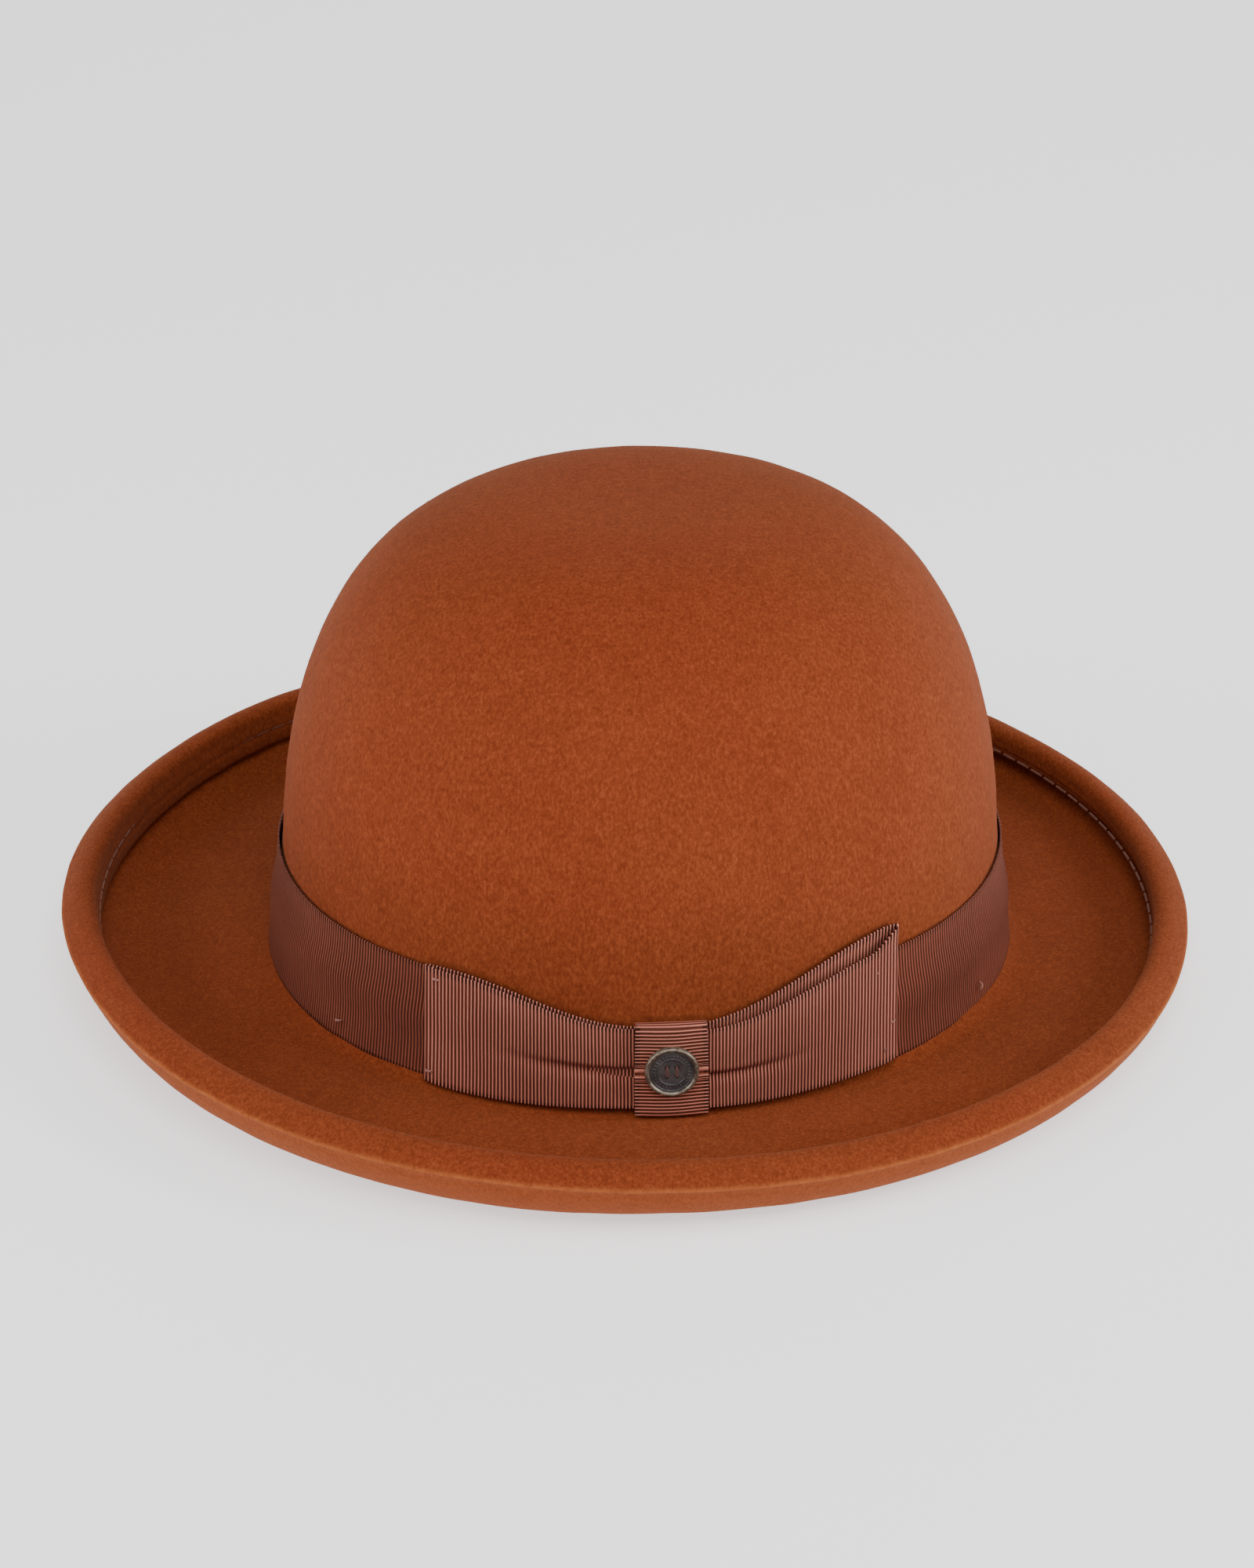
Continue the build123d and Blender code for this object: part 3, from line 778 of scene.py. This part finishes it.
# Button: a cast metal four-hole button with a rolled rim, a sunk face and a raised ring of small bars.
# It is aged, so the rim is rubbed bright and the face has darkened.
BUTTON_RADIUS = 7.0 * MM
BUTTON_THICKNESS = 2.4 * MM
HOLE_RADIUS = 0.62 * MM
HOLE_PITCH = 2.5 * MM
RING_BARS = 30
RING_RADIUS = 4.5 * MM
RING_HEIGHT = 1.86 * MM
button_low, button_high = [Vector(corner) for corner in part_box("button")]
button_middle = (button_low + button_high) / 2
button_x, button_z = button_middle.x, button_middle.z
BUTTON_SEAT = 4 * MM  # the button tilts as the wall does over this far each way
wall_above = loop_wall(button_x, button_z + BUTTON_SEAT, 0)
wall_below = loop_wall(button_x, button_z - BUTTON_SEAT, 0)
wall_right = loop_wall(button_x + BUTTON_SEAT, button_z, 0)
wall_left = loop_wall(button_x - BUTTON_SEAT, button_z, 0)
button_up = wall_above - wall_below
button_side = wall_right - wall_left
button_side.normalize()
button_out = button_side.cross(button_up).normalized()
button_up = button_out.cross(button_side)
button_frame = Matrix((button_side, button_up, button_out)).transposed().to_4x4()
button_frame.translation = button_middle - button_out * BUTTON_THICKNESS / 2


def set_in_place(piece, frame_matrix):
    """Put a piece's mesh where a frame says, leaving its object at the origin."""
    piece.data.transform(frame_matrix)
    piece.matrix_world = Matrix.Identity(4)


def button_place(u, v):
    """Point of the button's turned profile: v runs from the face's middle over the rim to the back."""
    profile = (
        (0.0, 1.75), (2.6, 1.75), (3.1, 1.75), (3.55, 1.78), (3.65, 2.0), (3.75, 2.02), (3.85, 1.8),
        (5.1, 1.74), (5.25, 1.78), (5.35, 1.95), (5.45, 1.97), (5.55, 1.8), (5.75, 1.82), (5.95, 2.15),
        (6.2, 2.38), (6.5, 2.42), (6.78, 2.25), (6.95, 1.9), (7.0, 1.4), (6.9, 0.7), (6.6, 0.25),
        (6.1, 0.0), (3.0, 0.0), (0.0, 0.0),
    )
    radius, height = profile[round(v * (len(profile) - 1))]
    turn = -2 * math.pi * u
    return Vector((radius * math.cos(turn), radius * math.sin(turn), height)) * MM


def aged_metal():
    """Aged brass: dark in the sunk face, worn to bright metal on the rim."""
    n = Nodes("button_metal")
    place = n.add("ShaderNodeTexCoord").outputs["Object"]
    centred = n.add("ShaderNodeVectorMath", operation="DISTANCE")
    n.feed(centred.inputs[0], place)
    centred.inputs[1].default_value = button_frame.translation + button_out * 2 * MM
    away = n.math("DIVIDE", centred.outputs["Value"], BUTTON_RADIUS)
    scuffs = n.noise(place, 900, 4, 0.6)
    stains = n.noise(place, 260, 3, 0.6)
    rim = n.ramp(away, ((0.78, (0, 0, 0)), (0.86, (1, 1, 1))))
    dark = n.ramp(stains, ((0.35, (0.105, 0.102, 0.104)), (0.7, (0.21, 0.205, 0.205))))
    worn = n.ramp(scuffs, ((0.3, (0.11, 0.082, 0.058)), (0.62, (0.30, 0.245, 0.19))))
    n.feed(n.shader.inputs["Base Color"], n.blend(rim, dark, worn))
    n.shader.inputs["Metallic"].default_value = 0.7
    polish = n.ramp(scuffs, ((0.3, (0.3, 0.3, 0.3)), (0.7, (0.55, 0.55, 0.55))))
    n.feed(n.shader.inputs["Roughness"], polish)
    n.feed(n.shader.inputs["Normal"], n.bump(scuffs, 0.4, 0.08 * MM))
    return n.material


button = shaped_grid("four_hole_button", 96, 23, button_place)
normals_outward(button)
for across in (-1, 1):
    for up in (-1, 1):
        bpy.ops.object.select_all(action="DESELECT")
        bpy.ops.mesh.primitive_cylinder_add(
            vertices=24, radius=HOLE_RADIUS, depth=8 * MM,
            location=(across * HOLE_PITCH / 2, up * HOLE_PITCH / 2, 0))
        drill = bpy.context.object
        cut = button.modifiers.new("hole", "BOOLEAN")
        cut.operation = "DIFFERENCE"
        cut.object = drill
        bpy.context.view_layer.objects.active = button
        bpy.ops.object.modifier_apply(modifier=cut.name)
        bpy.data.objects.remove(drill)
for k in range(RING_BARS):
    bpy.ops.object.select_all(action="DESELECT")
    spot = 2 * math.pi * k / RING_BARS
    middle = (RING_RADIUS * math.cos(spot), RING_RADIUS * math.sin(spot), RING_HEIGHT)
    bpy.ops.mesh.primitive_cube_add(size=1, location=middle)
    bar = bpy.context.object
    bar.scale = (0.85 * MM, 0.3 * MM, 0.3 * MM)
    bar.rotation_euler = (0, 0, spot)
    bpy.ops.object.transform_apply(location=True, rotation=True, scale=True)
    soft = bar.modifiers.new("soft", "BEVEL")
    soft.width = 0.09 * MM
    soft.segments = 2
    bpy.ops.object.modifier_apply(modifier=soft.name)
    button.select_set(True)
    bpy.context.view_layer.objects.active = button
    bpy.ops.object.join()
set_in_place(button, button_frame)
bpy.ops.object.shade_smooth_by_angle(angle=math.radians(40))
button.data.materials.append(aged_metal())
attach(button, "root")
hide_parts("button")


# Button thread: doubled thread sewn through the four holes in two short bars.
def sewing_thread(name, colour, twist=1400):
    """Twisted sewing thread."""
    n = Nodes(name)
    place = n.add("ShaderNodeTexCoord").outputs["Object"]
    wave = n.add("ShaderNodeTexWave", wave_type="BANDS", bands_direction="DIAGONAL")
    n.feed(wave.inputs["Vector"], place)
    wave.inputs["Scale"].default_value = twist
    wave.inputs["Distortion"].default_value = 1.5
    dark = tuple(0.45 * part for part in colour)
    n.feed(n.shader.inputs["Base Color"], n.ramp(wave.outputs["Fac"], ((0.1, dark), (0.8, colour))))
    n.shader.inputs["Roughness"].default_value = 0.7
    n.shader.inputs["Sheen Weight"].default_value = 0.3
    n.feed(n.shader.inputs["Normal"], n.bump(wave.outputs["Fac"], 0.6, 0.1 * MM))
    return n.material


def thread_bar(name, length, thickness, frame_matrix):
    """One stitch: a short thread that arches over the surface and dips in at both ends."""
    bpy.ops.object.select_all(action="DESELECT")
    bpy.ops.mesh.primitive_cylinder_add(vertices=10, radius=thickness / 2, depth=length, location=(0, 0, 0),
                                        rotation=(0, math.pi / 2, 0))
    stitch = bpy.context.object
    stitch.name = name
    bpy.ops.object.transform_apply(location=True, rotation=True, scale=True)
    bpy.ops.object.mode_set(mode="EDIT")
    bpy.ops.mesh.select_all(action="SELECT")
    bpy.ops.mesh.subdivide(number_cuts=5)
    bpy.ops.object.mode_set(mode="OBJECT")
    for vertex in stitch.data.vertices:
        share = vertex.co.x / (length / 2)
        vertex.co.z -= thickness * 1.1 * share**4
        vertex.co.y *= 1 - 0.25 * share**2
    bpy.ops.object.shade_smooth()
    set_in_place(stitch, frame_matrix)
    return stitch


def joined(name, pieces):
    """Several like pieces as one object."""
    bpy.ops.object.select_all(action="DESELECT")
    for piece in pieces:
        piece.select_set(True)
    bpy.context.view_layer.objects.active = pieces[0]
    bpy.ops.object.join()
    pieces[0].name = name
    return pieces[0]


bars = []
for across in (-1, 1):
    for strand in (-0.22, 0.0, 0.22):
        moved = Matrix.Translation(((across * HOLE_PITCH / 2 + strand * MM), 0, 2.05 * MM))
        turned = moved @ Matrix.Rotation(math.pi / 2 + strand * 0.3, 4, "Z")
        bars.append(thread_bar("strand", HOLE_PITCH + 0.7 * MM, 0.32 * MM, button_frame @ turned))
button_thread = joined("button_thread_bars", bars)
button_thread.data.materials.append(sewing_thread("button_thread", (0.13, 0.03, 0.02)))
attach(button_thread, "root")
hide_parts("button_thread")


# Tacks: small hand stitches that hold the band and the loops to the crown.
# Their ends show as short bars on the ribbon.
def tack_frame(x, z, out, tilt):
    """Frame on the ribbon, its x along the ribbon and its z out of it."""
    here = loop_wall(x, z, out)
    side = (loop_wall(x + 1 * MM, z, out) - loop_wall(x - 1 * MM, z, out)).normalized()
    up = (loop_wall(x, z + 1 * MM, out) - loop_wall(x, z - 1 * MM, out)).normalized()
    away = side.cross(up).normalized()
    up = away.cross(side)
    placed = Matrix((side, up, away)).transposed().to_4x4()
    placed.translation = here
    return placed @ Matrix.Rotation(tilt, 4, "Z")


tacks = []
for x, z, out, tilt in (
    (-77.5, 10, 2.1, 0.3), (92.0, 10, 2.1, 1.2), (-53.0, 34.8, 3.4, 0.0), (-53.5, 8, 3.5, 0.15),
    (62.5, 33.5, 4.0, 0.4), (66.2, 17.5, 3.6, 0.2), (63.5, 10.5, 3.9, 1.4),
):
    tacks.append(thread_bar("tack", 2.2 * MM, 0.6 * MM, tack_frame(x * MM, z * MM, out * MM, tilt)))
band_tacks = joined("ribbon_tacks", tacks)
band_tacks.data.materials.append(sewing_thread("tack_thread", (0.44, 0.165, 0.125)))
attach(band_tacks, "root")
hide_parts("band_tacks")


# Edge stitching: one row of stitches in matching thread, sunk in the felt of the turned edge.
felt_thread_look = sewing_thread("felt_thread", (0.26, 0.065, 0.02))
stitching = bpy.data.objects["brim_edge_stitching"]
stitching.data.materials.clear()
stitching.data.materials.append(felt_thread_look)


# Sweatband: a strip of smooth leather sewn round the mouth and turned up inside the crown.
# It softens with wear, so it waves a little between its stitches.
LEATHER = 0.9 * MM
band_low, band_high = [Vector(corner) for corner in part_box("sweatband")]


def sweatband_depth(turn, v):
    """How far inside the crown's outer face the sweatband starts, with its soft waves."""
    wave = noise.noise(Vector((math.cos(turn) * 3, math.sin(turn) * 3, v * 0.8 + 5)))
    return FELT + 0.6 * MM + (0.25 + 0.5 * wave) * MM * v


def sweatband_place(u, v):
    """Point of the sweatband's face against the lining."""
    turn = turn_at(u)
    z = band_low.z + (band_high.z - band_low.z) * v
    return wall_point(turn, z, -sweatband_depth(turn, v))


def on_sweatband(turn, z, off):
    """Point off the sweatband's inner face, towards the head."""
    v = (z - band_low.z) / (band_high.z - band_low.z)
    return wall_point(turn, z, -sweatband_depth(turn, v) - LEATHER - off)


def smooth_leather():
    """Brown sheepskin with a fine pebble grain, darker where it has been handled."""
    n = Nodes("smooth_leather")
    place = n.add("ShaderNodeTexCoord").outputs["Object"]
    cells = n.add("ShaderNodeTexVoronoi", feature="DISTANCE_TO_EDGE")
    n.feed(cells.inputs["Vector"], place)
    cells.inputs["Scale"].default_value = 1100
    pores = n.noise(place, 2600, 2, 0.6)
    patches = n.noise(place, 60, 4, 0.6)
    pebbles = n.math("MINIMUM", cells.outputs["Distance"], 0.25)
    grain = n.math("ADD", pebbles, n.math("MULTIPLY", pores, 0.12))
    tone = n.math("ADD", n.math("MULTIPLY", patches, 0.8), n.math("MULTIPLY", grain, 0.7))
    browns = ((0.3, (0.085, 0.030, 0.013)), (0.8, (0.24, 0.105, 0.050)))
    n.feed(n.shader.inputs["Base Color"], n.ramp(tone, browns))
    n.shader.inputs["Roughness"].default_value = 0.46
    n.feed(n.shader.inputs["Normal"], n.bump(grain, 0.5, 0.15 * MM))
    return n.material


sweatband = shaped_grid("leather_sweatband", 360, 12, sweatband_place)
thickened(sweatband, LEATHER)
sweatband.data.materials.append(smooth_leather())
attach(sweatband, "root")
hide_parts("sweatband")


# Lining: satin in a side and an oval tip, sewn together with a corded piping at the seam.
# The side is cut a little full and eased in, so it falls in shallow upright folds.
side_low, side_high = [Vector(corner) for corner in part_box("lining_side")]
tip_low = Vector(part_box("lining_tip")[0])


def lining_side_place(u, v):
    """Point of the lining's side, eased in towards the seam."""
    turn = 2 * math.pi * u
    z = side_low.z + (side_high.z - side_low.z) * v
    folds = noise.noise(Vector((math.cos(turn) * 9, math.sin(turn) * 9, v * 0.7)))
    ease = math.sin(math.pi * min(1, v * 1.02)) * 0.4 + smooth(v, 0.6, 1.0)
    return wall_point(turn, z, -FELT - (0.35 + 0.55 * (0.5 + folds) * ease) * MM)


def lining_tip_place(u, v):
    """Point of the lining's oval tip, with small puckers round its seam."""
    turn = 2 * math.pi * u
    low = tip_low.z
    height = CROWN_HEIGHT - FELT - 0.4 * MM
    lift = (low - DOME_START) / (height - DOME_START)
    z = DOME_START + (height - DOME_START) * math.sin(math.asin(lift) + (math.pi / 2 - math.asin(lift)) * v)
    pucker = 0.25 * MM * math.sin(turn * 70) * math.exp(-v / 0.1)
    return wall_point(turn, min(z, height), -FELT - 0.4 * MM - abs(pucker))


def satin(name):
    """Satin lining: smooth floats of thread with a soft run of light and faint creases."""
    n = Nodes(name)
    place = n.add("ShaderNodeTexCoord").outputs["Object"]
    weave = n.noise(n.mapped(place, (1, 1, 0.12)), 3200, 2, 0.6)
    creases = n.noise(place, 55, 4, 0.55)
    tone = n.math("ADD", n.math("MULTIPLY", weave, 0.45), n.math("MULTIPLY", creases, 0.55))
    browns = ((0.32, (0.115, 0.036, 0.016)), (0.7, (0.24, 0.088, 0.042)))
    n.feed(n.shader.inputs["Base Color"], n.ramp(tone, browns))
    n.shader.inputs["Roughness"].default_value = 0.32
    n.shader.inputs["Sheen Weight"].default_value = 0.25
    n.shader.inputs["Anisotropic"].default_value = 0.5
    creased = n.bump(creases, 0.35, 1.2 * MM)
    n.feed(n.shader.inputs["Normal"], n.bump(weave, 0.25, 0.08 * MM, creased))
    return n.material


satin_look = satin("satin_lining")
lining_side = shaped_grid("satin_side", 360, 40, lining_side_place)
thickened(lining_side, 0.2 * MM)
lining_tip = shaped_grid("satin_tip", 280, 24, lining_tip_place)
thickened(lining_tip, 0.2 * MM)
for piece, node, flat, area in (
    (lining_side, "lining_side", (0.575, 0.105), 0.055),
    (lining_tip, "lining_tip", (0.145, 0.122), 0.0139),
):
    piece.data.materials.append(satin_look)
    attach(piece, "root")
    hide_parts(node)


# Reed and piping: a covered reed stiffens the sweatband's lower edge, and a satin cord covers
# the lining's seam. Both are covered cords, so they show a slanting wrap.
def covered_cord(name, colour):
    """Cord wrapped in cloth cut on the slant."""
    n = Nodes(name)
    place = n.add("ShaderNodeTexCoord").outputs["Object"]
    wraps = n.add("ShaderNodeTexWave", wave_type="BANDS", bands_direction="DIAGONAL")
    n.feed(wraps.inputs["Vector"], place)
    wraps.inputs["Scale"].default_value = 420
    wraps.inputs["Distortion"].default_value = 2
    dark = tuple(0.6 * part for part in colour)
    n.feed(n.shader.inputs["Base Color"], n.ramp(wraps.outputs["Fac"], ((0.2, dark), (0.8, colour))))
    n.shader.inputs["Roughness"].default_value = 0.5
    n.feed(n.shader.inputs["Normal"], n.bump(wraps.outputs["Fac"], 0.35, 0.1 * MM))
    return n.material


for node, look in (
    ("sweatband_reed", covered_cord("reed_cover", (0.16, 0.062, 0.035))),
    ("lining_piping", covered_cord("piping_satin", (0.20, 0.065, 0.035))),
    ("sweatband_stitching", sewing_thread("band_thread", (0.36, 0.20, 0.10))),
):
    piece = bpy.data.objects[node]
    piece.data.materials.clear()
    piece.data.materials.append(look)


# Small bow inside the back: narrow ribbon folded into two loops round a knot.
# It marks the back of the hat, and is sewn through the sweatband.
sewn_low, sewn_high = [Vector(corner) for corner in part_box("sweatband_bow")]
SEWN_HALF = sewn_high.y
SEWN_MIDDLE = (sewn_low.z + sewn_high.z) / 2
NARROW_RIBBON = 0.25 * MM


def back_turn(y):
    """Angle of a place along Y on the crown's +X end."""
    return math.asin(y / (CROWN_LONG * HEAD_RATIO))


def sewn_loop(hand):
    """Place function of one small loop, from its back layer round its end to its front layer."""
    def place(u, v):
        reach = abs(2 * u - 1)
        y = hand * (SEWN_HALF - (SEWN_HALF - 1 * MM) * reach)
        z = SEWN_MIDDLE + (2 * v - 1) * (5.0 - 2.6 * reach) * MM
        front = 0.85 * MM * math.sin(math.pi * min(1, 0.15 + 0.75 * reach)) if u > 0.5 else 0.0
        return on_sweatband(back_turn(y), z, 0.4 * MM + front * min(1, reach / 0.1) ** 0.5)
    return place


def sewn_knot(u, v):
    """Point of the small knot over the loops' pinched ends."""
    z = SEWN_MIDDLE + (2 * v - 1) * 2.4 * MM
    return on_sweatband(back_turn((2 * u - 1) * 2 * MM), z, (0.7 + 0.9 * math.sin(math.pi * v) ** 0.5) * MM)


sewn_length = strip_length(sewn_loop(1)) + strip_length(sewn_loop(-1))
sewn_parts = [
    shaped_grid("sewn_loop_right", 60, 14, sewn_loop(1)),
    shaped_grid("sewn_loop_left", 60, 14, sewn_loop(-1)),
    shaped_grid("sewn_knot", 12, 16, sewn_knot),
]
for part in sewn_parts:
    thickened(part, NARROW_RIBBON)
sewn_bow = joined("sewn_bow", sewn_parts)
sewn_bow.data.materials.clear()
sewn_bow.data.materials.append(grosgrain("narrow_ribbon", sewn_length / 2, 10 * MM))
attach(sewn_bow, "root")
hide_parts("sweatband_bow")


# Label and size tab, both blank: a woven label stitched to the lining's tip,
# and a stiff paper tab pasted inside the sweatband on the wearer's left.
label_low, label_high = [Vector(corner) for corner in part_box("woven_label")]
tab_low, tab_high = [Vector(corner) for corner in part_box("size_tab")]


def label_place(u, v):
    """Point of the label's face, which hangs a little between its stitched edges."""
    sag = 0.25 * MM * math.sin(math.pi * u) * math.sin(math.pi * v)
    x = label_low.x + (label_high.x - label_low.x) * u
    y = label_low.y + (label_high.y - label_low.y) * v
    return Vector((x, y, label_high.z - sag))


def tab_place(u, v):
    """Point of the tab's face, with one corner lifting from the leather."""
    x = tab_low.x + (tab_high.x - tab_low.x) * u
    turn = -math.acos((x - CROWN_SHIFT) / (CROWN_LONG - FELT - LEATHER))
    lifting = 0.5 * MM * smooth(u + v, 1.6, 2.0)
    return on_sweatband(turn, tab_low.z + (tab_high.z - tab_low.z) * v, 0.1 * MM + lifting)


def close_weave(name, dark, pale, roughness):
    """Close-woven or pressed fibres that run one way and lie flat."""
    n = Nodes(name)
    place = n.add("ShaderNodeTexCoord").outputs["Object"]
    fibres = n.noise(n.mapped(place, (0.2, 1, 1)), 3400, 3, 0.65)
    clouds = n.noise(place, 220, 3, 0.5)
    tone = n.math("ADD", n.math("MULTIPLY", fibres, 0.7), n.math("MULTIPLY", clouds, 0.3))
    n.feed(n.shader.inputs["Base Color"], n.ramp(tone, ((0.35, dark), (0.65, pale))))
    n.shader.inputs["Roughness"].default_value = roughness
    n.feed(n.shader.inputs["Normal"], n.bump(fibres, 0.4, 0.08 * MM))
    return n.material


label = shaped_grid("blank_label", 46, 30, label_place)
thickened(label, 0.35 * MM)
label.data.materials.append(close_weave("label_cloth", (0.30, 0.21, 0.12), (0.46, 0.35, 0.22), 0.55))
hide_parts("woven_label")
tab = shaped_grid("blank_size_tab", 24, 16, tab_place)
thickened(tab, 0.2 * MM)
tab.data.materials.append(close_weave("tab_paper", (0.55, 0.50, 0.40), (0.70, 0.66, 0.56), 0.8))
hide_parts("size_tab")
for piece in (label, tab):
    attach(piece, "root")


# Wire and ferrule: a ring of drawn spring steel in the fold of the brim's edge,
# its two ends held at the back by a crimped brass sleeve.
def drawn_metal(name, dark, bright, roughness):
    """Drawn metal with fine scratches and a few dull spots."""
    n = Nodes(name)
    place = n.add("ShaderNodeTexCoord").outputs["Object"]
    scratches = n.noise(n.mapped(place, (1, 1, 6)), 1500, 3, 0.7)
    spots = n.noise(place, 240, 3, 0.6)
    tone = n.math("ADD", n.math("MULTIPLY", scratches, 0.5), n.math("MULTIPLY", spots, 0.5))
    n.feed(n.shader.inputs["Base Color"], n.ramp(tone, ((0.35, dark), (0.6, bright))))
    n.shader.inputs["Metallic"].default_value = 1.0
    n.feed(n.shader.inputs["Roughness"], n.math("MULTIPLY_ADD", scratches, 0.3, roughness))
    n.feed(n.shader.inputs["Normal"], n.bump(scratches, 0.3, 0.04 * MM))
    return n.material


for node, look in (
    ("brim_wire", drawn_metal("spring_wire", (0.20, 0.19, 0.18), (0.45, 0.44, 0.42), 0.25)),
    ("brim_wire_ferrule", drawn_metal("ferrule_brass", (0.34, 0.22, 0.07), (0.66, 0.48, 0.20), 0.2)),
):
    piece = bpy.data.objects[node]
    piece.data.materials.clear()
    piece.data.materials.append(look)
